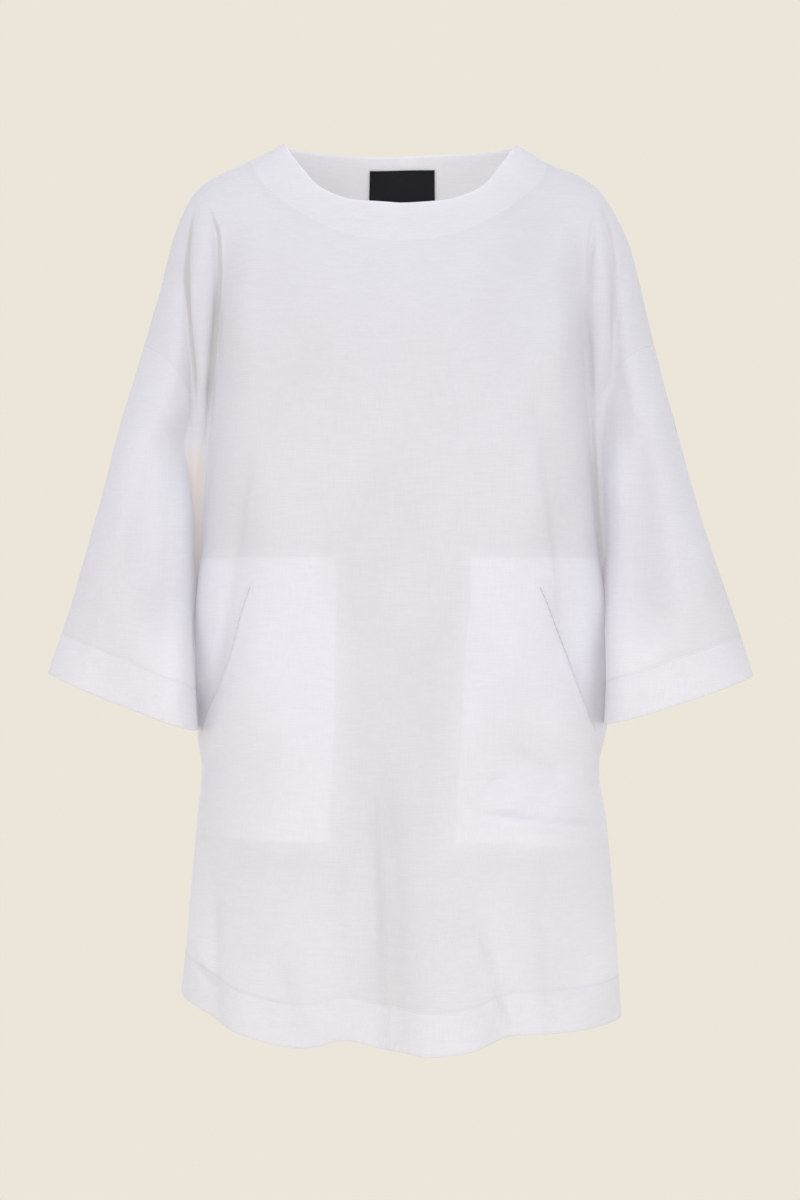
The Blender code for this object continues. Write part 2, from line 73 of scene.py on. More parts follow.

# Painted shadow lines along the sharp tucks at the fold's two edges: how strong they are and where they end,
# left and right
TUCK_SHADOW_TOP = (60.0, 92.0)
TUCK_SHADOW_END = {"_body": (285.0, 420.0), "_sleeve": (264.0, 240.0)}
TUCK_SHADOW_STRENGTH = {"_body": (0.5, 0.16), "_sleeve": (0.5, 0.14)}
TUCK_SHADOW_FADE = 60.0


def table(columns, *rows):
    """A short table as its named columns."""
    return {name: np.array(values, float) for name, values in zip(columns.split(), zip(*rows))}


# Outer line of shoulders and sleeves, neck point to cuff
OUTLINE = table(
    "z left right",
    (0, 113, 113),
    (-10, 129, 129),
    (-19, 149, 144.5),
    (-26, 168, 164),
    (-36, 187, 183),
    (-50, 201, 197),
    (-72, 212.5, 209),
    (-100, 222, 222),
    (-135, 230.5, 231.5),
    (-178, 241.5, 241.5),
    (-235, 257, 255.5),
    (-300, 275, 272.5),
    (-360, 291, 288.5),
    (-410, 305, 304.5),
    (-455, 317.5, 319.5),
    (-510, 335.5, 336),
    (-560, 350, 351),
)

# The shoulder lines carried on over the neck opening
ROOF = table(
    "across front back",
    (0, 50, 58),
    (30, 41, 45),
    (60, 27, 28),
    (90, 12.5, 12.5),
    (113, 0, 0),
)

# The fold between body and sleeve, and below the underarm the two edges that it parts into
VALLEY = table(
    "z left_sleeve left_body right_body right_sleeve",
    (-60, 196, 184, 187, 194),
    (-95, 202, 171, 179, 201),
    (-130, 205, 170, 177, 205),
    (-175, 200, 174, 176.5, 203),
    (-225, 195, 178, 179, 201),
    (-255, 194, 183, 181, 192),
    (-290, 203, 185, 185, 190),
    (-350, 200, 189, 189.5, 194.5),
    (-400, 199, 192.5, 193, 197.5),
    (-430, 197, 196, 196.5, 197.5),
    (-460, 199, 198, 198.5, 199.5),
    (-505, 197, 198.5, 200, 198),
    (-540, 194, 197, 200, 196),
    (-563, 193, 196, 199, 195),
    (-598, 193, 192.5, 192.5, 195),
    (-656, 193, 197.5, 201, 195),
    (-730, 193, 204, 207.5, 195),
    (-816, 193, 210.5, 213, 195),
    (-860, 193, 212, 214.5, 195),
)

# Depth before and behind the seams: at the panel's middle, by the fold, in the fold and on the arm
DEPTHS = table(
    "z front front_edge front_floor front_arm back back_edge back_floor back_arm",
    (0, 72, 60, 58, 60, 70, 58, 56, 58),
    (-60, 78, 62, 57, 61, 86, 64, 58, 60),
    (-120, 98, 70, 56, 63, 98, 72, 57, 62),
    (-200, 116, 88, 53, 66, 103, 84, 54, 65),
    (-290, 125, 98, 42, 68, 101, 94, 44, 66),
    (-370, 128, 104, 24, 68, 98, 94, 24, 64),
    (-430, 131, 110, 20, 66, 97, 94, 20, 62),
    (-560, 147, 126, 20, 66, 92, 90, 20, 62),
    (-700, 152, 136, 20, 66, 104, 100, 20, 62),
    (-860, 160, 146, 20, 66, 124, 118, 20, 62),
)

# The middle surface that the side and shoulder seams lie on
MIDDLE = table(
    "z body sleeve",
    (0, 0, 0),
    (-200, 0, -2),
    (-350, 5, -18),
    (-430, 10, -28),
    (-500, 14, -38),
    (-563, 16, -43),
    (-700, 16, -43),
    (-860, 11, -43),
)

# How wide the round of the body's edge is, and how soft the fold's corner
EDGE = table(
    "z width arm_width soft flap",
    (-60, 40, 30, 6, 0),
    (-95, 32, 20, 4, 4),
    (-175, 30, 18, 3, 7),
    (-225, 36, 24, 4, 5),
    (-255, 44, 28, 4, 0),
    (-350, 78, 28, 3, 0),
    (-430, 140, 34, 0, 0),
    (-500, 165, 40, 0, 0),
    (-860, 178, 40, 0, 0),
)

# Armhole seams, underarm to shoulder tip
ARMHOLE = table(
    "left left_z right right_z",
    (196.5, -430, 197, -430),
    (195.5, -390, 195, -390),
    (194, -350, 191.5, -350),
    (192, -310, 188.5, -310),
    (187, -283, 185, -275),
    (192, -263, 188, -250),
    (200, -244, 199, -236),
    (215, -219, 213, -213),
    (230, -205, 229, -202),
    (246, -195, 246, -195),
)

# Neck edge and the facing's outer edge, shoulder seam to centre
NECK = table(
    "front front_z front_facing front_facing_z back back_z back_facing back_facing_z",
    (113, 0, 149, -19, 113, 0, 149, -19),
    (105, -12, 139, -41, 107, -1, 139, -33),
    (94, -28, 121, -60, 97, -1, 121, -38),
    (75, -50, 92, -81, 78, -1, 90, -40),
    (40, -63.5, 50, -97, 42, -1, 47, -41),
    (0, -66.5, 0, -102, 0, -1, 0, -41),
)

# Front and back hem edges
HEM = table(
    "x front back",
    (-210.5, -816, -816),
    (-184, -826, -823),
    (-150, -842, -834),
    (-90, -851, -848),
    (-50, -843, -853),
    (-6, -853, -856),
    (27, -857, -857),
    (66, -853, -856),
    (111, -840, -852),
    (150, -841, -847),
    (214, -839, -839),
)

# Inner edges and slanted mouths of the pockets
POCKET = table(
    "z left_inner left_mouth right_mouth right_inner",
    (-400, 59, 118, 114, 65),
    (-422, 59, 136, 127, 65),
    (-447, 59, 146, 139, 64.5),
    (-491, 59.5, 158, 156.5, 60),
    (-520, 60, 171, 167, 58.5),
    (-546, 60, 183, 177.5, 57),
    (-577, 61, 191, 188, 55.5),
    (-664, 66, 197, 200, 50.5),
)

# Largest soft folds: heights, three places along each, and depth (a ridge is negative)
FOLDS = table(
    "face top bottom x_top x_mid x_bottom depth width",
    (-1, -300, -580, -143, -158, -186, 7, 17),
    (-1, -210, -500, 118, 150, 158, 7, 17),
    (-1, -560, -870, -16, -8, -3, 9, 15),
    (-1, -700, -870, 66, 76, 98, 8, 15),
    (-1, -640, -870, 30, 34, 40, -6, 30),
    (-1, -700, -870, -172, -172, -172, 5, 14),
    (1, -130, -620, -40, -52, -60, 6, 26),
    (1, -150, -700, 52, 66, 78, 7, 24),
    (1, -480, -870, -104, -112, -118, 8, 22),
    (1, -520, -870, 10, 16, 20, 8, 24),
    (1, -560, -870, 126, 132, 138, 7, 20),
    (-1, -300, -545, -236, -262, -282, 4, 16),
    (-1, -250, -500, 222, 226, 232, 4, 14),
    (1, -240, -545, -222, -238, -262, 5, 16),
    (1, -240, -545, 226, 244, 268, 5, 16),
)


def read(source, column, at, key="z"):
    """Reads a column smoothly between its rows, never beyond the values of two neighbours."""
    keys, values = source[key], source[column]
    if keys[0] > keys[-1]:
        keys, values = keys[::-1], values[::-1]
    at = np.clip(at, keys[0], keys[-1])
    step = np.diff(keys)
    rise = np.diff(values) / step
    slope = np.zeros_like(values)
    turning = rise[:-1] * rise[1:] <= 0
    total = np.where(turning, 1, rise[:-1] + rise[1:])
    slope[1:-1] = np.where(turning, 0, 2 * rise[:-1] * rise[1:] / total)
    slope[0], slope[-1] = rise[0], rise[-1]
    row = np.clip(np.searchsorted(keys, at, side="right") - 1, 0, len(step) - 1)
    t = (at - keys[row]) / step[row]
    start = values[row] * (1 + 2 * t) + step[row] * slope[row] * t
    end = values[row + 1] * (3 - 2 * t) - step[row] * slope[row + 1] * (1 - t)
    return start * (1 - t) ** 2 + end * t**2


def sided(source, name, x, z):
    """A column pair read for points on either side of the centre line."""
    return np.where(x < 0, read(source, "left" + name, z), read(source, "right" + name, z))


def mix(a, b, share):
    return a + (b - a) * share


def ramp(value, start, end):
    """0 before start, 1 after end, smooth between."""
    share = np.clip((value - start) / (end - start), 0, 1)
    return share * share * (3 - 2 * share)


def quarter(share):
    """Height of a quarter ellipse: 0 at its foot, 1 from its middle on."""
    return np.sqrt(1 - (1 - np.clip(share, 0, 1)) ** 2)


def soften(distance, corner):
    """A distance that leaves zero gently, over about one corner."""
    distance = np.maximum(distance, 0)
    return np.sqrt(distance**2 + corner**2) - corner


def side_of(face):
    return "front" if face < 0 else "back"


def roof(x, face):
    """Height of the outline above a place across, carried on over the neck opening."""
    across = np.abs(x)
    fine = np.linspace(OUTLINE["z"][0], OUTLINE["z"][-1], 1121)
    left, right = (np.interp(across, read(OUTLINE, name, fine), fine) for name in ("left", "right"))
    over_neck = read(ROOF, side_of(face), across, "across")
    return np.where(across < OUTLINE["left"][0], over_neck, np.where(x < 0, left, right))


def inside_outline(x, z, face):
    """Distance from the shoulder line above, and further out from the sleeve's line beside."""
    step = 6.0
    above = roof(x, face) - z
    fall = (roof(x + step, face) - roof(x - step, face)) / (2 * step)
    beside = sided(OUTLINE, "", x, z) - np.abs(x)
    lean = (sided(OUTLINE, "", x, z + step) - sided(OUTLINE, "", x, z - step)) / (2 * step)
    above = above / np.sqrt(1 + fall**2)
    beside = beside / np.sqrt(1 + lean**2)
    return mix(above, beside, ramp(np.abs(x), *SHOULDER_TURN))


def fold_floor(z, face):
    """Depth of the fold between body and sleeve, which rises as an arch from the underarm."""
    arch = quarter((z - UNDERARM_Z) / 60)
    return arch * read(DEPTHS, side_of(face) + "_floor", z)


def folds(x, z, face):
    """Sum of the soft folds on one face, each a trough that fades out above and below."""
    total = np.zeros(np.broadcast(x, z).shape)
    for n in range(len(FOLDS["face"])):
        row = {name: values[n] for name, values in FOLDS.items()}
        if row["face"] != face:
            continue
        t = np.clip((row["top"] - z) / (row["top"] - row["bottom"]), 0, 1)
        bend = 2 * row["x_mid"] - (row["x_top"] + row["x_bottom"]) / 2
        line = (1 - t) ** 2 * row["x_top"] + 2 * t * (1 - t) * bend + t**2 * row["x_bottom"]
        fade = ramp(t, 0, 0.35) * (1 - ramp(t, 0.75, 1) * (row["bottom"] > -800))
        total += row["depth"] * fade * np.exp(-(((x - line) / row["width"]) ** 2))
    return total


def rise_from(floor, full, share):
    """From the fold's floor up to the full depth, with the floor felt only close to the fold."""
    own = np.maximum(full**4 - floor**4, 0) ** 0.25 * share
    return (own**4 + floor**4) ** 0.25


def on_the_arm(x, z, sleeve):
    """Which places lie past the fold, or below the underarm on the sleeve that is asked for."""
    body_edge, sleeve_edge = sided(VALLEY, "_body", x, z), sided(VALLEY, "_sleeve", x, z)
    return np.where(z < UNDERARM_Z, sleeve, np.abs(x) > (body_edge + sleeve_edge) / 2)


def depth(x, z, face, sleeve=False):
    """How far the cloth stands off the middle surface, towards the front or the back."""
    name = side_of(face)
    across = np.abs(x)
    body_edge, sleeve_edge = sided(VALLEY, "_body", x, z), sided(VALLEY, "_sleeve", x, z)
    half_sleeve = np.maximum(LEAN * (sided(OUTLINE, "", x, z) - sleeve_edge) / 2, ARM_LEAST)
    middle, edge = read(DEPTHS, name, z), read(DEPTHS, name + "_edge", z)
    floor = fold_floor(z, face)
    body = middle - (middle - edge) * np.clip(across / body_edge, 0, 1) ** 2.2
    arm = read(DEPTHS, name + "_arm", z)
    soft = read(EDGE, "soft", z)
    body_wall = quarter(soften(body_edge - across, soft) / read(EDGE, "width", z)) ** SQUARENESS
    arm_wall = quarter(soften(across - sleeve_edge, soft) / read(EDGE, "arm_width", z)) ** SQUARENESS
    on_arm = on_the_arm(x, z, sleeve)
    form = rise_from(floor, np.where(on_arm, arm, body), np.where(on_arm, arm_wall, body_wall))
    strip = np.clip((across - body_edge) / np.maximum(sleeve_edge - body_edge, 1), 0, 1)
    form = form + read(EDGE, "flap", z) * np.sin(np.pi * strip)
    near = np.minimum(form / 40, 1)
    form = form - near * folds(x, z, face)
    rounding = mix(NECK_ROUND[face], SHOULDER_ROUND, ramp(across, 100, 200))
    rounding = mix(rounding, half_sleeve, ramp(-z, 180, 320))
    return form * quarter(inside_outline(x, z, face) / rounding)


def middle_y(x, z, sleeve=False):
    """The middle surface's place in Y: below the shoulder the sleeves swing forward of the sides."""
    past = np.abs(x) - sided(VALLEY, "_sleeve", x, z)
    swing = 1 - (1 - ramp(past, 0, 70)) * (1 - ramp(-z, -UNDERARM_Z, 500))
    swing = np.where(on_the_arm(x, z, sleeve), swing, 0)
    return mix(read(MIDDLE, "body", z), read(MIDDLE, "sleeve", z), swing)


def surface(x, z, face, gap=SEAM_GAP, sleeve=False):
    """Points of the garment's outer face and the directions out of it."""
    step = 0.5
    y = face * depth(x, z, face, sleeve)
    slopes = []
    for dx, dz in ((step, 0), (0, step)):
        ahead, behind = (x + dx, z + dz), (x - dx, z - dz)
        rise = depth(*ahead, face, sleeve) ** 2 - depth(*behind, face, sleeve) ** 2
        drift = middle_y(*ahead, sleeve) - middle_y(*behind, sleeve)
        slopes.append(-(rise + 2 * y * drift) / (2 * step))
    out = np.stack([slopes[0], 2 * y, slopes[1]], axis=-1)
    out /= np.linalg.norm(out, axis=-1, keepdims=True) + 1e-12
    points = np.stack([x, middle_y(x, z, sleeve) + y + face * gap / 2, z], axis=-1)
    return points, out


def along_path(source, across, height, share):
    """Points at even shares of the length of a line through a table's rows."""
    line = np.stack([source[across], source[height]], axis=-1)
    length = np.concatenate([[0], np.cumsum(np.linalg.norm(np.diff(line, axis=0), axis=1))])
    measured = {"length": length, "across": line[:, 0], "height": line[:, 1]}
    at = np.asarray(share) * length[-1]
    return read(measured, "across", at, "length"), read(measured, "height", at, "length")


def even_ends(count):
    """Shares from 0 to 1 that crowd towards both ends."""
    return (1 - np.cos(np.pi * np.arange(count + 1) / count)) / 2


def top_edge(face, share):
    """The panel's upper edge: left shoulder seam, neck edge, right shoulder seam."""
    name = side_of(face)
    x, z = np.zeros(len(share)), np.zeros(len(share))
    for n, s in enumerate(share):
        side = -1 if s < 0.5 else 1
        to_tip = min(s, 1 - s)
        if to_tip < SHOULDER_SHARE:
            tip_z = ARMHOLE["left_z"][-1]
            steepness = (1 - to_tip / SHOULDER_SHARE) ** 1.35
            z[n] = tip_z * steepness
            x[n] = side * read(OUTLINE, "left" if side < 0 else "right", z[n])
        else:
            to_centre = (to_tip - SHOULDER_SHARE) / (0.5 - SHOULDER_SHARE)
            across, z[n] = along_path(NECK, name, name + "_z", to_centre)
            x[n] = side * across
    return x, z


def panel_view(face):
    """Front-view places of a panel's mesh: columns left to right, rows hem to shoulder."""
    name = side_of(face)
    even = np.arange(COLUMNS + 1) / COLUMNS
    crowded = even_ends(COLUMNS)
    ends = HEM["x"][0], HEM["x"][-1]
    hem_x = mix(ends[0], ends[1], crowded)
    hem_z = read(HEM, name, hem_x, "x")
    rows_x, rows_z = [], []
    lower = np.linspace(0, FACING_WIDTH, HEM_STEPS + 1)
    for n in range(len(lower) + LOWER_ROWS):
        if n < len(lower):
            share = lower[n] / (UNDERARM_Z - hem_z)
        else:
            first = FACING_WIDTH / (UNDERARM_Z - hem_z)
            share = mix(first, 1, (n + 1 - len(lower)) / LOWER_ROWS)
        z = mix(hem_z, UNDERARM_Z, share)
        left = -read(VALLEY, "left_body", z[0])
        right = read(VALLEY, "right_body", z[-1])
        if n == len(lower) + LOWER_ROWS - 1:
            left, right = -ARMHOLE["left"][0], ARMHOLE["right"][0]
        rows_x.append(mix(left, right, crowded))
        rows_z.append(z)
    top_x, top_z = top_edge(face, even)
    chord_x, chord_z = mix(top_x[0], top_x[-1], even), mix(top_z[0], top_z[-1], even)
    for share in mix(even_ends(UPPER_ROWS), np.arange(UPPER_ROWS + 1) / UPPER_ROWS, 0.6)[1:]:
        left_x, left_z = along_path(ARMHOLE, "left", "left_z", share)
        right_x, right_z = along_path(ARMHOLE, "right", "right_z", share)
        blend = mix(crowded, even, share)
        rows_x.append(mix(-left_x, right_x, blend) + share * (top_x - chord_x))
        rows_z.append(mix(left_z, right_z, blend) + share * (top_z - chord_z))
    return np.array(rows_x).T, np.array(rows_z).T


def open_seam(points, out, inner):
    """Draws a seam's edge points back along the cloth by half the seam gap."""
    run = np.gradient(points, axis=0)
    aside = np.cross(out, run)
    aside /= np.linalg.norm(aside, axis=1, keepdims=True) + 1e-12
    aside *= np.sign(np.sum(aside * (inner - points), axis=1, keepdims=True))
    return points + aside * SEAM_GAP * 0.8


def panel_surface(face):
    """A body panel's outer points and directions: its shoulder edges lie on the middle surface and
    its armhole edges are drawn back for the seams."""
    x, z = panel_view(face)
    points, out = surface(x, z, face)
    shoulder = np.abs(x[:, -1]) >= OUTLINE["left"][0]
    points[shoulder, -1, 1] = (middle_y(x, z) + face * SEAM_GAP / 2)[shoulder, -1]
    out[shoulder, -1, 1] = 0
    out /= np.linalg.norm(out, axis=-1, keepdims=True)
    underarm = x.shape[1] - 1 - UPPER_ROWS
    for edge, inner in ((0, 1), (-1, -2)):
        seam = slice(underarm, None)
        points[edge, seam] = open_seam(points[edge, seam], out[edge, seam], points[inner, seam])
    return points, out


def sleeve_inner(side, z):
    """The sleeve's inner line: down the middle of the fold, then along the sleeve's own edge."""
    name = "left" if side < 0 else "right"
    own = read(VALLEY, name + "_sleeve", z)
    shared = (own + read(VALLEY, name + "_body", z)) / 2
    return np.where(z < UNDERARM_Z, own, shared)


def sleeve_surface(side):
    """A sleeve's outer points and directions: rings of columns, shoulder tip round to the underarm
    and back, and rows from the armhole to the cuff, with which points lie behind and how far up."""
    name = "left" if side < 0 else "right"
    ring = np.arange(2 * UPPER_ROWS)
    share = (1 - np.cos(np.pi * ring / UPPER_ROWS)) / 2
    seam_x, seam_z = along_path(ARMHOLE, name, name + "_z", 1 - share)
    cuff_outer = read(OUTLINE, name, CUFF_OUTER_Z[side])
    cuff_x = mix(cuff_outer, sleeve_inner(side, CUFF_INNER_Z[side]), share)
    cuff_z = mix(CUFF_OUTER_Z[side], CUFF_INNER_Z[side], share)

    def place(x, z):
        inner = sleeve_inner(side, z)
        return (x - inner) / (read(OUTLINE, name, z) - inner)

    seam_place, cuff_place = place(seam_x, seam_z), place(cuff_x, cuff_z)
    length = np.hypot(seam_x - cuff_x, seam_z - cuff_z)
    up = [step / length for step in np.linspace(0, FACING_WIDTH, HEM_STEPS + 1)]
    up += [mix(up[HEM_STEPS], 1, n / SLEEVE_ROWS) for n in range(1, SLEEVE_ROWS + 1)]
    up = np.array(up[::-1]).T
    z = mix(cuff_z[:, None], seam_z[:, None], up)
    inner = sleeve_inner(side, z)
    spot = mix(cuff_place[:, None], seam_place[:, None], up)
    x = side * (inner + spot * (read(OUTLINE, name, z) - inner))
    front, front_out = surface(x, z, -1, gap=0, sleeve=True)
    back, back_out = surface(x, z, 1, gap=0, sleeve=True)
    behind = (ring > UPPER_ROWS)[:, None, None]
    points, out = np.where(behind, back, front), np.where(behind, back_out, front_out)
    return points, out, behind[..., 0], up * length[:, None]


# Sharper creases that the solids leave out: three points on each, then depth, width and how it dies out
CREASES = table(
    "face x0 z0 x1 z1 x2 z2 depth width",
    (-1, -141, -300, -150, -400, -184, -572, 2.2, 5),
    (-1, 118, -215, 144, -370, 156, -480, 2.0, 5),
    (-1, -24, -600, -12, -740, -9, -856, 2.4, 4.5),
    (-1, 68, -735, 82, -785, 98, -838, 3.0, 4.5),
    (-1, 40, -700, 36, -780, 30, -860, -2.0, 12),
    (-1, 76, -644, 120, -648, 192, -661, -1.6, 3.5),
    (-1, 72, -636, 118, -640, 196, -655, 2.6, 2.8),
    (-1, 66, -604, 82, -608, 100, -604, 1.8, 3.5),
    (-1, 104, -456, 118, -466, 130, -484, 1.6, 4.5),
    (-1, 102, -574, 124, -590, 150, -602, 1.5, 5),
    (-1, -204, -766, -190, -786, -172, -806, 1.8, 4),
    (-1, -176, -676, -173, -760, -170, -850, 1.8, 5),
    (-1, -112, -760, -104, -806, -92, -852, 1.5, 8),
    (-1, 128, -706, 136, -776, 138, -842, 1.6, 8),
    (-1, -70, -590, -58, -690, -52, -800, 1.2, 10),
    (-1, 20, -330, 30, -420, 26, -520, 0.9, 12),
    (-1, -60, -250, -72, -360, -70, -470, 0.9, 12),
    (1, -48, -110, -54, -300, -66, -640, 2.0, 8),
    (1, 56, -140, 68, -380, 84, -700, 2.2, 7),
    (1, -108, -420, -112, -620, -122, -830, 2.6, 6),
    (1, 14, -500, 20, -680, 12, -852, 2.2, 7),
    (1, 132, -540, 138, -700, 142, -840, 2.4, 6),
    (1, -16, -620, -30, -740, -34, -850, -1.8, 10),
    (1, 96, -640, 104, -740, 112, -846, -1.6, 9),
    (1, -150, -300, -158, -420, -176, -560, 2.0, 5),
    (1, 148, -300, 156, -420, 172, -560, 2.0, 5),
    (1, -176, -190, -182, -300, -190, -410, 1.8, 4),
    (1, 178, -190, 184, -300, 190, -410, 1.8, 4),
    (-1, -206, -290, -211, -400, -206, -575, -4.5, 9),
    (-1, 205, -290, 209, -400, 207, -575, -4.5, 9),
    (1, -206, -290, -211, -400, -206, -575, -3.5, 9),
    (1, 205, -290, 209, -400, 207, -575, -3.5, 9),
    (-1, -262, -330, -284, -420, -306, -520, 1.2, 8),
    (-1, 250, -340, 272, -430, 292, -530, 1.2, 8),
    (1, -226, -260, -240, -380, -262, -520, 1.6, 7),
    (1, 230, -260, 246, -380, 270, -520, 1.6, 7),
    (-1, -196, -60, -209, -130, -197, -215, 3.4, 3.0),
    (-1, -199, -190, -194, -250, -200, -345, 2.2, 3.2),
    (-1, -178, -66, -167, -125, -177, -210, 3.4, 3.0),
    (-1, -176, -190, -181, -245, -184, -290, 3.4, 3.0),
    (-1, 188, -66, 175, -120, 178, -205, 2.6, 3.2),
    (-1, 177, -180, 182, -260, 189, -380, 2.4, 3.2),
    (-1, 193, -58, 209, -120, 203, -240, 2.4, 3.2),
    (-1, 214, -80, 219, -120, 206, -160, 1.2, 4),
    (-1, 210, -228, 215, -270, 213, -300, 1.2, 6),
    (1, -196, -60, -209, -130, -197, -215, 2.2, 3.4),
    (1, -178, -66, -167, -125, -180, -260, 2.4, 3.4),
    (1, 188, -66, 175, -120, 182, -260, 2.4, 3.4),
    (1, 193, -58, 209, -120, 203, -240, 2.2, 3.4),
)

# Long slow waves of the whole cloth: along x and z in turns a metre, phase and height
WAVES = table(
    "across down phase height",
    (3.1, 1.9, 0.3, 1.1),
    (5.3, -2.7, 1.9, 0.8),
    (-7.9, 4.3, 4.1, 0.5),
    (11.3, 6.1, 2.6, 0.35),
    (-15.7, 8.9, 5.2, 0.25),
    (21.1, -13.3, 0.9, 0.16),
)


def creases(x, z, face):
    """How far the finer creases and slow waves push the cloth inwards."""
    total = np.zeros(x.shape)
    t = np.linspace(0, 1, 33)
    for n in range(len(CREASES["face"])):
        row = {name: values[n] for name, values in CREASES.items()}
        if row["face"] != face:
            continue
        line_x = (1 - t) ** 2 * row["x0"] + 2 * t * (1 - t) * row["x1"] + t**2 * row["x2"]
        line_z = (1 - t) ** 2 * row["z0"] + 2 * t * (1 - t) * row["z1"] + t**2 * row["z2"]
        reach = 4 * row["width"]
        near = (x > line_x.min() - reach) & (x < line_x.max() + reach)
        near &= (z > line_z.min() - reach) & (z < line_z.max() + reach)
        if not near.any():
            continue
        off_x, off_z = x[near][:, None] - line_x, z[near][:, None] - line_z
        spot = (off_x**2 + off_z**2).argmin(axis=1)
        off_x, off_z = (off[np.arange(len(spot)), spot] for off in (off_x, off_z))
        run_x, run_z = np.gradient(line_x)[spot], np.gradient(line_z)[spot]
        run = run_x**2 + run_z**2
        along = np.clip(t[spot] + (off_x * run_x + off_z * run_z) / run * t[1], 0, 1)
        away = (off_x * run_z - off_z * run_x) / np.sqrt(run)
        taper = np.sin(np.pi * along) ** 0.7
        uneven = 1 + 0.3 * np.sin(9 * along + 2 * n)
        profile = np.exp(-((away / row["width"]) ** 2))
        total[near] += row["depth"] * uneven * taper * profile
    for n in range(len(WAVES["across"])):
        turn = 2 * np.pi * MM * (WAVES["across"][n] * x + WAVES["down"][n] * z)
        total += WAVES["height"][n] * np.sin(turn + WAVES["phase"][n] + (1.7 if face > 0 else 0))
    return total


def dressed(points, out, face, inwards=0.0):
    """The solid's surface with its finer creases, then moved inwards."""
    push = creases(points[..., 0], points[..., 2], face) * edge_calm(points)
    return points - out * (push + inwards)[..., None]


def edge_calm(points, sleeve=False):
    """Creases die out towards the middle surface, where a seam or an arm's edge runs."""
    y = points[..., 1] - middle_y(points[..., 0], points[..., 2], sleeve)
    return ramp(np.abs(y), 2, 16)


def rolled(points, out, closed_edge=False):
    """Adds a small turned-under roll below the first row of a grid."""
    along = points[:, 1] - points[:, 0]
    along /= np.linalg.norm(along, axis=1, keepdims=True)
    centre = points[:, 0] - ROLL * out[:, 0]
    rows = []
    for angle in (180, 144, 108, 72, 36):
        turn = math.radians(angle)
        rows.append(centre + ROLL * (math.cos(turn) * out[:, 0] - math.sin(turn) * along))
    return np.concatenate([np.stack(rows, axis=1), points], axis=1)


def shell(name, points, finish, closed=False, **marks):
    """A thin sheet through a grid of points, with named values at its points."""
    columns, rows = points.shape[:2]
    last = columns if closed else columns - 1
    i, j = np.meshgrid(np.arange(last), np.arange(rows - 1), indexing="ij")
    ahead = (i + 1) % columns
    faces = np.stack([i * rows + j, ahead * rows + j, ahead * rows + j + 1, i * rows + j + 1], axis=-1)
    mesh = bpy.data.meshes.new(name)
    mesh.from_pydata((points.reshape(-1, 3) * MM).tolist(), [], faces.reshape(-1, 4).tolist())
    mesh.update()
    mesh.shade_smooth()
    for mark, values in marks.items():
        made = mesh.attributes.new(mark, "FLOAT", "POINT")
        made.data.foreach_set("value", np.broadcast_to(values, (columns, rows)).astype(np.float32).ravel())
    mesh.materials.append(finish)
    piece = bpy.data.objects.new(name, mesh)
    bpy.context.scene.collection.objects.link(piece)
    return piece


def with_roll(values, rows=5):
    """The same marks with the roll's rows put before them."""
    return np.concatenate([np.repeat(values[:, :1], rows, axis=1), values], axis=1)


def neck_band(x, z, face):
    """How far inside the neck facing's outer edge a place is, negative outside."""
    name = side_of(face)
    share = np.linspace(0, 1, 60)
    edge_x, edge_z = along_path(NECK, name + "_facing", name + "_facing_z", share)
    across = np.abs(x)
    near = np.abs(z) < 180
    away = np.full(x.shape, 60.0)
    away[near] = np.hypot(across[near][:, None] - edge_x, z[near][:, None] - edge_z).min(axis=1)
    within = (z > np.interp(across, edge_x[::-1], edge_z[::-1])) & (across < edge_x.max())
    return np.where(within, away, -away)


def hem_band(x, z, face):
    return FACING_WIDTH - (z - read(HEM, side_of(face), x, "x"))


def bag_bottom(x):
    """Height of the bags' lower edges: the right one sags a little towards the side."""
    return POCKET_BOTTOM - 11 * ramp(x, 70, 200)


def pocket_band(x, z):
    """How far inside a pocket bag's outline a place on the front is."""
    across = np.abs(x)
    inner = np.where(x < 0, read(POCKET, "left_inner", z), read(POCKET, "right_inner", z))
    return np.minimum(np.minimum(across - inner, z - bag_bottom(x)), POCKET_TOP - z)


def mouth_step(x, z):
    """The pocket mouth: the side's edge lies under the middle's, with a narrow dip between; also how far past
    its line a place lies, and how strong the painted shadow line there is.
    """
    across = np.abs(x)
    line = np.where(x < 0, read(POCKET, "left_mouth", z), read(POCKET, "right_mouth", z))
    fade = ramp(z, MOUTH_END - 8, MOUTH_END + 20) * (1 - ramp(z, MOUTH_TOP - 12, MOUTH_TOP + 4))
    past = across - line
    step = 1.7 * ramp(past, -1.2, 1.8) * (1 - ramp(past, 4, 26))
    lip = -0.9 * np.exp(-(((past + 2.2) / 2.4) ** 2))
    fainter = np.where(x < 0, 0.95 - 0.35 * ramp(-z, 540, 570), 0.9 - 0.6 * ramp(-z, 475, 520))
    return fade * (step + lip), np.where(fade > 0.35, past, 99.0), fainter



def tuck_shadows(x, z):
    """Marks for the painted shadow lines of the sharp creases by the armholes: how far off each a place lies,
    and how strong its shadow is.
    """
    marks = {}
    for edge, ends in TUCK_SHADOW_END.items():
        end = np.where(x < 0, *ends)
        share = ramp(-z, *TUCK_SHADOW_TOP) * (1 - ramp(-z, end - TUCK_SHADOW_FADE, end))
        marks["off" + edge] = np.abs(x) - sided(VALLEY, edge, x, z)
        marks["painted_shade" + edge] = share * np.where(x < 0, *TUCK_SHADOW_STRENGTH[edge])
    return marks


def trough(x, z, face):
    """How much a place lies in the shade of the folds and creases, 0 to 0.2."""
    return np.clip(0.011 * folds(x, z, face) + 0.034 * creases(x, z, face), 0, 0.2)


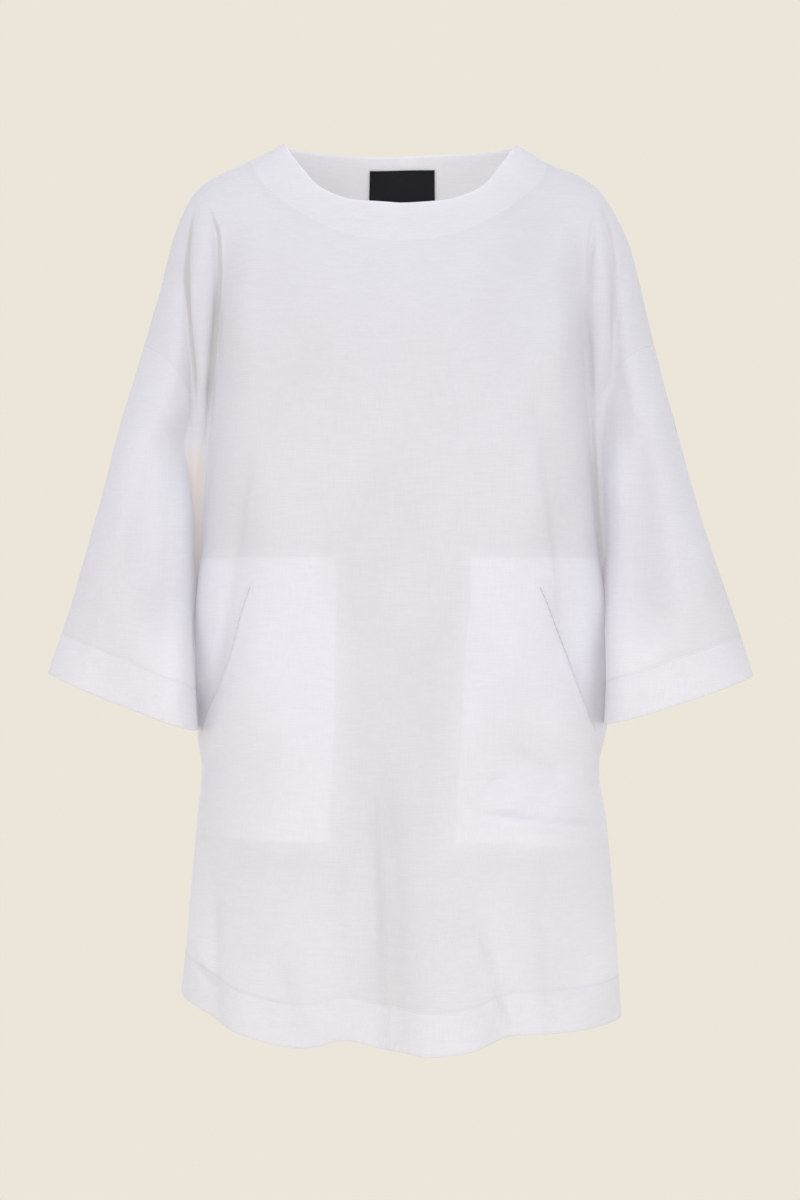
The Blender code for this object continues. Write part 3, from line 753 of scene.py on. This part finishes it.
def gap_shade_share(x, z):
    """How far inside the narrow strip between the fold's edges a place lies, above the underarm, 0 to 1: the
    share of its painted warm-tinted shade, less on the right.
    """
    across = np.abs(x)
    inside = np.minimum(across - sided(VALLEY, "_body", x, z), sided(VALLEY, "_sleeve", x, z) - across)
    share = ramp(inside, -1.5, 1.5) * ramp(-z, 280, 315) * (1 - ramp(-z, 424, 440))
    return share * np.where(x < 0, 1.0, 0.45)


def body_painted_light(x, z):
    """Painted light on the body, 0 to 1: a paler colour that lifts the shade, most by the sides and low down."""
    across = np.abs(x)
    sides = 0.75 * ramp(across, 100, 192) * ramp(-z, 330, 520)
    low = 0.4 * ramp(across, 20, 75) * ramp(-z, 640, 740)
    belly = 0.25 * ramp(-z, 200, 320) * (1 - ramp(-z, 420, 500))
    return np.maximum(np.maximum(sides, low), belly)


def sleeve_painted_light(x, z):
    """The same painted light for a sleeve, most along its inner edge, where its two sides meet and the fold's
    shade falls.
    """
    past = np.abs(x) - sided(VALLEY, "_sleeve", x, z)
    return 0.25 + 0.7 * (1 - ramp(past, 8, 60)) * ramp(-z, 260, 340)


def body_panels(linen, facing):
    for face in (-1, 1):
        name = side_of(face)
        points, out = panel_surface(face)
        x, z = points[..., 0], points[..., 2]
        neck, band = neck_band(x, z, face), hem_band(x, z, face)
        cloth = dressed(points, out, face)
        past, slit_shadow, bag = np.full(x.shape, 99.0), np.zeros(x.shape), np.full(x.shape, -99.0)
        if face < 0:
            bag = pocket_band(x, z)
            step, past, slit_shadow = mouth_step(x, z)
            cloth = cloth - out * step[..., None]
        hem = hem_band(x, z, face)
        neck = neck + (mix(3, -5, ramp(np.abs(x), 10, 110)) if face < 0 else 0)
        looks = dict(tuck_shadows(x, z), double=band, hem=hem, mouth=past, slit_shadow=slit_shadow, bag=bag, neck=neck,
                     gap=gap_shade_share(x, z), painted_light=body_painted_light(x, z), shade=trough(x, z, face))
        looks = {mark: with_roll(values) for mark, values in looks.items()}
        add(name, shell(name + "_cloth", rolled(cloth, out), linen, **looks))
        rows = slice(0, HEM_STEPS + 1)
        inner = dressed(points[:, rows], out[:, rows], face, 1.4)
        add("hem_facing_" + name, shell("hem_facing_" + name + "_cloth", inner, facing,
                                        double=1.0, hem=hem[:, rows], mouth=99.0, bag=-99.0, neck=-99.0))
        x, z = neck_grid(face)
        points, out = surface(x, z, face)
        inner = dressed(points, out, face, 1.5)
        add("neck_facing_" + name, shell("neck_facing_" + name + "_cloth", inner, facing,
                                         double=1.0, hem=99.0, mouth=99.0, bag=-99.0, neck=-99.0))


def neck_grid(face):
    """Front-view places of a neck facing, from the neck edge outwards."""
    name = side_of(face)
    share = 1 - np.abs(np.linspace(-1, 1, NECK_COLUMNS + 1))
    side = np.where(np.arange(NECK_COLUMNS + 1) * 2 < NECK_COLUMNS, -1, 1)
    edge_x, edge_z = along_path(NECK, name, name + "_z", share)
    outer_x, outer_z = along_path(NECK, name + "_facing", name + "_facing_z", share)
    down = np.linspace(0.0, 1, NECK_ROWS + 1)
    x = side[:, None] * mix(edge_x[:, None], outer_x[:, None], down)
    z = mix(edge_z[:, None], outer_z[:, None], down)
    for end in (0, -1):
        z[end] = roof(x[end], face)
    return x, z


def sleeves(linen, facing):
    for side, name in ((-1, "left"), (1, "right")):
        points, out, behind, up = sleeve_surface(side)
        push = np.where(behind, creases(points[..., 0], points[..., 2], 1),
                        creases(points[..., 0], points[..., 2], -1)) * edge_calm(points, True)
        cloth = (points - out * push[..., None])[:, ::-1]
        out, hem = out[:, ::-1], FACING_WIDTH - up[:, ::-1]
        x, z = points[:, ::-1, 0], points[:, ::-1, 2]
        shade = np.where(behind[:, ::-1], trough(x, z, 1), trough(x, z, -1))
        looks = dict(tuck_shadows(x, z), double=hem, hem=hem, gap=gap_shade_share(x, z), painted_light=sleeve_painted_light(x, z),
                     shade=shade)
        looks = {mark: with_roll(values) for mark, values in looks.items()}
        add("sleeve_" + name, shell("sleeve_" + name + "_cloth", rolled(cloth, out), linen, closed=True,
                                    mouth=99.0, bag=-99.0, neck=-99.0, **looks))
        rows = slice(0, HEM_STEPS + 1)
        inner = cloth[:, rows] - 1.4 * out[:, rows]
        add("sleeve_hem_" + name, shell("sleeve_hem_" + name + "_cloth", inner, facing, closed=True,
                                        double=1.0, hem=hem[:, rows], mouth=99.0, bag=-99.0, neck=-99.0))


def pocket_bags(facing):
    for side, name in ((-1, "left"), (1, "right")):
        columns, rows = BAG_GRID
        z = np.linspace(POCKET_BOTTOM, POCKET_TOP, rows + 1)[None, :]
        mouth = read(POCKET, name + "_mouth", z) + BAG_PAST_MOUTH
        outer = np.minimum(mouth, read(VALLEY, name + "_body", z) - 4)
        share = np.sin(np.pi / 2 * np.linspace(0, 1, columns + 1))[:, None]
        x = side * mix(read(POCKET, name + "_inner", z), outer, share)
        down = (POCKET_TOP - z) / (POCKET_TOP - POCKET_BOTTOM)
        points, out = surface(x, z + (bag_bottom(x) - POCKET_BOTTOM) * down**2, -1)
        slack = 1.8 + 2.4 * ramp(share, 0, 0.35) * np.ones_like(x)
        cloth = dressed(points, out, -1, slack)
        add("pocket_bag_" + name, shell("pocket_bag_" + name + "_cloth", cloth, facing,
                                        double=1.0, hem=99.0, mouth=99.0, bag=-99.0, neck=-99.0))


def label(black):
    width, height = LABEL_SIZE
    across = np.linspace(-1, 1, LABEL_GRID[0] + 1)
    down = np.linspace(0, 1, LABEL_GRID[1] + 1)
    x, z = np.meshgrid(LABEL_CENTRE + across * width / 2, LABEL_TOP - down * height, indexing="ij")
    points, out = surface(x, z, 1)
    lift = 3.1 + 0.5 * np.outer(np.abs(across) ** 3, down) + 0.7 * down[None, :] ** 2
    cloth = dressed(points, out, 1, lift)
    add("label", shell("label_cloth", cloth, black, down=down[None, :] * height))


def add(node, piece):
    """A piece that stands for a solid of the frame: it hangs from the root, and the solid is hidden."""
    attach(piece, "root")
    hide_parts(node)


def node(tree, kind, **values):
    """A shader node with its settings and constant inputs."""
    made = tree.nodes.new(kind)
    for name, value in values.items():
        if hasattr(made, name):
            setattr(made, name, value)
        else:
            made.inputs[name.replace("_", " ")].default_value = value
    return made


def maths(tree, operation, *parts):
    made = tree.nodes.new("ShaderNodeMath")
    made.operation = operation
    for n, part in enumerate(parts):
        if isinstance(part, (int, float)):
            made.inputs[n].default_value = part
        else:
            tree.links.new(part, made.inputs[n])
    return made.outputs[0]


def mark(tree, name):
    made = tree.nodes.new("ShaderNodeAttribute")
    made.attribute_name = name
    return made.outputs["Fac"]


def step_up(tree, value, low, high):
    """0 below low, 1 above high, smooth between."""
    made = tree.nodes.new("ShaderNodeMapRange")
    made.interpolation_type = "SMOOTHSTEP"
    tree.links.new(value, made.inputs["Value"])
    made.inputs["From Min"].default_value = low
    made.inputs["From Max"].default_value = high
    return made.outputs["Result"]


def line_at(tree, value, centre, half):
    """1 on a line where the value is at its centre, falling to 0 at half its width."""
    off = maths(tree, "ABSOLUTE", maths(tree, "SUBTRACT", value, centre))
    return maths(tree, "SUBTRACT", 1.0, step_up(tree, off, half * 0.3, half))


def streaks(tree, coordinates, scale, detail=3.0):
    """Noise drawn out along threads."""
    mapping = tree.nodes.new("ShaderNodeMapping")
    mapping.inputs["Scale"].default_value = scale
    tree.links.new(coordinates, mapping.inputs["Vector"])
    noise = tree.nodes.new("ShaderNodeTexNoise")
    noise.inputs["Scale"].default_value = 1.0
    noise.inputs["Detail"].default_value = detail
    tree.links.new(mapping.outputs[0], noise.inputs["Vector"])
    return noise.outputs["Fac"]


def bands(tree, coordinates, direction, scale):
    wave = tree.nodes.new("ShaderNodeTexWave")
    wave.wave_type = "BANDS"
    wave.bands_direction = direction
    wave.inputs["Scale"].default_value = scale
    wave.inputs["Distortion"].default_value = 1.2
    wave.inputs["Detail"].default_value = 1.0
    wave.inputs["Detail Scale"].default_value = 0.2
    tree.links.new(coordinates, wave.inputs["Vector"])
    return wave.outputs["Fac"]


def mixed(tree, share, first, second, blend="MIX"):
    made = tree.nodes.new("ShaderNodeMix")
    made.data_type = "RGBA"
    made.blend_type = blend
    sockets = [s for s in made.inputs if s.type == "RGBA"]
    tree.links.new(share, made.inputs[0])
    for socket, value in zip(sockets, (first, second)):
        if isinstance(value, tuple):
            socket.default_value = (*value, 1)
        else:
            tree.links.new(value, socket)
    return [s for s in made.outputs if s.type == "RGBA"][0]


def linen_material(name, single, double, sheer, banded):
    """Plain-woven linen: slubs both ways, a fine weave, stitching by the hems, and a second layer where
    a facing or a pocket bag lies behind, painted lighter. Painted light lifts shaded sides; painted
    shade darkens folds, creases, the fold's edges, layer edges, pocket mouths and the stitching,
    and painted warm-tinted shade fills the strip between the fold's edges."""
    made = bpy.data.materials.new(name)
    made.use_nodes = True
    tree = made.node_tree
    shader = tree.nodes["Principled BSDF"]
    shader.inputs["Roughness"].default_value = 0.88
    shader.inputs["Specular IOR Level"].default_value = 0.25
    shader.inputs["Sheen Weight"].default_value = 0.12
    shader.inputs["Sheen Roughness"].default_value = 0.5
    place = tree.nodes.new("ShaderNodeTexCoord").outputs["Object"]
    # Painted light: where a second layer lies behind (hem bands, pocket bags, neck facings) the paler double
    # colour stands in for the light it gives back
    layers_and_painted_light = maths(tree, "MULTIPLY", step_up(tree, mark(tree, "double"), -0.5, 0.5), banded)
    behind = maths(tree, "ADD", maths(tree, "MULTIPLY", step_up(tree, mark(tree, "bag"), -1.5, 2.0), 0.34),
                   maths(tree, "MULTIPLY", step_up(tree, mark(tree, "bag"), -30.0, 14.0), 0.66))
    facing = maths(tree, "MULTIPLY", step_up(tree, mark(tree, "neck"), -0.6, 0.8), 0.35)
    layers_and_painted_light = maths(tree, "MAXIMUM", maths(tree, "MAXIMUM", layers_and_painted_light, behind), facing)
    # Painted light: the paler colour also lifts the shade by the body's sides and the sleeves' inner edges
    layers_and_painted_light = maths(tree, "MAXIMUM", layers_and_painted_light, mark(tree, "painted_light"))
    cloth = mixed(tree, layers_and_painted_light, single, double)
    slub_down = streaks(tree, place, (1400, 1400, 45))
    slub_across = streaks(tree, place, (55, 55, 1500))
    cloudy = streaks(tree, place, (22, 22, 22), 2.0)
    slub = maths(tree, "ADD", maths(tree, "MULTIPLY", slub_down, 0.5), maths(tree, "MULTIPLY", slub_across, 0.5))
    slub = step_up(tree, slub, 0.38, 0.62)
    shade = maths(tree, "ADD", maths(tree, "MULTIPLY", slub, 0.75), maths(tree, "MULTIPLY", cloudy, 0.25))
    pale = maths(tree, "MULTIPLY", maths(tree, "SUBTRACT", 1.0, shade), 0.4)
    cloth = mixed(tree, pale, cloth, SLUB_SHADE, "MULTIPLY")
    # Painted shadow lines: along the hem stitching, at each second layer's edge and in the pocket mouths
    seam = line_at(tree, mark(tree, "hem"), 1.6, 0.55)
    edge = line_at(tree, mark(tree, "double"), 0.0, 0.9)
    lip = line_at(tree, mark(tree, "mouth"), 0.2, 1.1)
    shadow = maths(tree, "MAXIMUM", maths(tree, "MULTIPLY", edge, 0.15), maths(tree, "MULTIPLY", lip, mark(tree, "slit_shadow")))
    shadow = maths(tree, "MAXIMUM", shadow, maths(tree, "MULTIPLY", seam, 0.22))
    cloth = mixed(tree, shadow, cloth, tuple(0.8 * value for value in single))
    # Painted warm-tinted shade in the strip between the fold's edges
    cloth = mixed(tree, maths(tree, "MULTIPLY", mark(tree, "gap"), 0.8), cloth, GAP_SHADE_COLOUR)
    # Painted shade: troughs of folds and creases, and thin painted shadow lines along the fold's two edges,
    # darken the base colour
    painted_shade = mark(tree, "shade")
    for edge in TUCK_SHADOW_END:
        line = line_at(tree, mark(tree, "off" + edge), 0.0, 2.6)
        painted_shade = maths(tree, "MAXIMUM", painted_shade, maths(tree, "MULTIPLY", line, mark(tree, "painted_shade" + edge)))
    cloth = mixed(tree, painted_shade, cloth, FOLD_SHADE_COLOUR)
    tree.links.new(cloth, shader.inputs["Base Color"])
    weave = maths(tree, "MULTIPLY", bands(tree, place, "X", 380), bands(tree, place, "Z", 400))
    height = maths(tree, "ADD", maths(tree, "MULTIPLY", weave, 0.25), maths(tree, "MULTIPLY", slub, 0.5))
    height = maths(tree, "SUBTRACT", height, maths(tree, "MULTIPLY", seam, 1.5))
    rough = streaks(tree, place, (70, 70, 50), 4.0)
    height = maths(tree, "ADD", height, maths(tree, "MULTIPLY", rough, 2.5))
    bump = tree.nodes.new("ShaderNodeBump")
    bump.inputs["Strength"].default_value = 0.35
    bump.inputs["Distance"].default_value = 0.0004
    tree.links.new(height, bump.inputs["Height"])
    tree.links.new(bump.outputs[0], shader.inputs["Normal"])
    through = tree.nodes.new("ShaderNodeBsdfTranslucent")
    tree.links.new(cloth, through.inputs["Color"])
    tree.links.new(bump.outputs[0], through.inputs["Normal"])
    both = tree.nodes.new("ShaderNodeMixShader")
    both.inputs[0].default_value = sheer
    tree.links.new(shader.outputs[0], both.inputs[1])
    tree.links.new(through.outputs[0], both.inputs[2])
    tree.links.new(both.outputs[0], tree.nodes["Material Output"].inputs["Surface"])
    return made


def label_material():
    """Black woven tape with fine ribs and a stitched top edge."""
    made = bpy.data.materials.new("label_weave_look")
    made.use_nodes = True
    tree = made.node_tree
    shader = tree.nodes["Principled BSDF"]
    shader.inputs["Roughness"].default_value = 0.75
    shader.inputs["Specular IOR Level"].default_value = 0.2
    place = tree.nodes.new("ShaderNodeTexCoord").outputs["Object"]
    rib = bands(tree, place, "Z", 420)
    stitch = line_at(tree, mark(tree, "down"), 2.5, 0.6)
    cloth = mixed(tree, rib, (0.008, 0.0085, 0.011), (0.013, 0.0135, 0.017))
    cloth = mixed(tree, maths(tree, "MULTIPLY", stitch, 0.5), cloth, (0.006, 0.006, 0.008))
    tree.links.new(cloth, shader.inputs["Base Color"])
    bump = tree.nodes.new("ShaderNodeBump")
    bump.inputs["Strength"].default_value = 0.4
    bump.inputs["Distance"].default_value = 0.0002
    tree.links.new(maths(tree, "SUBTRACT", rib, stitch), bump.inputs["Height"])
    tree.links.new(bump.outputs[0], shader.inputs["Normal"])
    return made


def stage_piece(name, corners, colour):
    """A flat part of the plain pale set, which gives off its own even light."""
    mesh = bpy.data.meshes.new(name)
    mesh.from_pydata(corners, [], [(0, 1, 2, 3)])
    made = bpy.data.materials.new(name)
    made.use_nodes = True
    tree = made.node_tree
    glow = tree.nodes.new("ShaderNodeEmission")
    glow.inputs["Color"].default_value = (*colour, 1)
    tree.links.new(glow.outputs[0], tree.nodes["Material Output"].inputs["Surface"])
    mesh.materials.append(made)
    piece = bpy.data.objects.new(name, mesh)
    bpy.context.scene.collection.objects.link(piece)


def lamp(name, place, target, size, power, colour):
    light = bpy.data.lights.new(name, "AREA")
    light.shape = "RECTANGLE"
    light.size, light.size_y = size
    light.energy = power
    light.color = colour
    made = bpy.data.objects.new(name, light)
    made.location = place
    aim = Vector(target) - Vector(place)
    made.rotation_euler = aim.to_track_quat("-Z", "Y").to_euler()
    bpy.context.scene.collection.objects.link(made)


def studio():
    pale = (0.8388, 0.7913, 0.7011)
    stage_piece("floor", [(-4, -4, -1.45), (4, -4, -1.45), (4, 4, -1.45), (-4, 4, -1.45)], pale)
    world = bpy.data.worlds.new("studio")
    world.use_nodes = True
    tree = world.node_tree
    light = tree.nodes["Background"]
    light.inputs["Color"].default_value = (0.955, 0.965, 1.0, 1)
    light.inputs["Strength"].default_value = 0.95
    wall = tree.nodes.new("ShaderNodeBackground")
    wall.inputs["Color"].default_value = (*pale, 1)
    seen = tree.nodes.new("ShaderNodeLightPath").outputs["Is Camera Ray"]
    both = tree.nodes.new("ShaderNodeMixShader")
    for socket, value in zip(both.inputs, (seen, light.outputs[0], wall.outputs[0])):
        tree.links.new(value, socket)
    tree.links.new(both.outputs[0], tree.nodes["World Output"].inputs["Surface"])
    bpy.context.scene.world = world
    lamp("key", (-1.4, -2.7, -0.15), (0, 0, -0.5), (1.4, 1.8), 19, (0.98, 0.975, 1.0))
    lamp("fill", (1.8, -2.5, -0.8), (0, 0, -0.6), (1.4, 1.8), 19, (0.93, 0.96, 1.0))
    lamp("behind", (0, 2.2, 0.9), (0, 0, -0.3), (1.6, 1.2), 20, (1.0, 0.99, 0.98))
    lamp("top", (0, -1.0, 1.5), (0, 0, -0.05), (0.9, 0.6), 3.5, (1.0, 0.99, 0.98))


def camera():
    lens = bpy.data.cameras.new("camera")
    lens.lens = 85
    lens.sensor_width = 36
    made = bpy.data.objects.new("camera", lens)
    made.location = (0, -2.74, -0.44)
    made.rotation_euler = (math.radians(90), 0, 0)
    bpy.context.scene.collection.objects.link(made)
    bpy.context.scene.camera = made


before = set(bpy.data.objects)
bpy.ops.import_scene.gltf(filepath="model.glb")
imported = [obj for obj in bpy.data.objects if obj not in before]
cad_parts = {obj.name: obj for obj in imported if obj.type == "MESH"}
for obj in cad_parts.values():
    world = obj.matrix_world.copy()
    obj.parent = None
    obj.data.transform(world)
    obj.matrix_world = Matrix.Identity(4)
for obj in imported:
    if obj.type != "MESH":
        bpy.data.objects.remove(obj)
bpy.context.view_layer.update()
bpy.context.scene.view_settings.view_transform = "Standard"
bpy.context.scene.view_settings.look = "None"
camera()
studio()
# Each material's second colour is a painted lighter copy of its first, for a second layer and for lifted shade
linen = linen_material("linen_look", (0.785, 0.779, 0.808), (0.89, 0.884, 0.927), 0.36, 0.7)
facing = linen_material("facing_look", (0.85, 0.845, 0.885), (0.97, 0.955, 0.955), 0.5, 1.0)
body_panels(linen, facing)
sleeves(linen, facing)
pocket_bags(facing)
label(label_material())
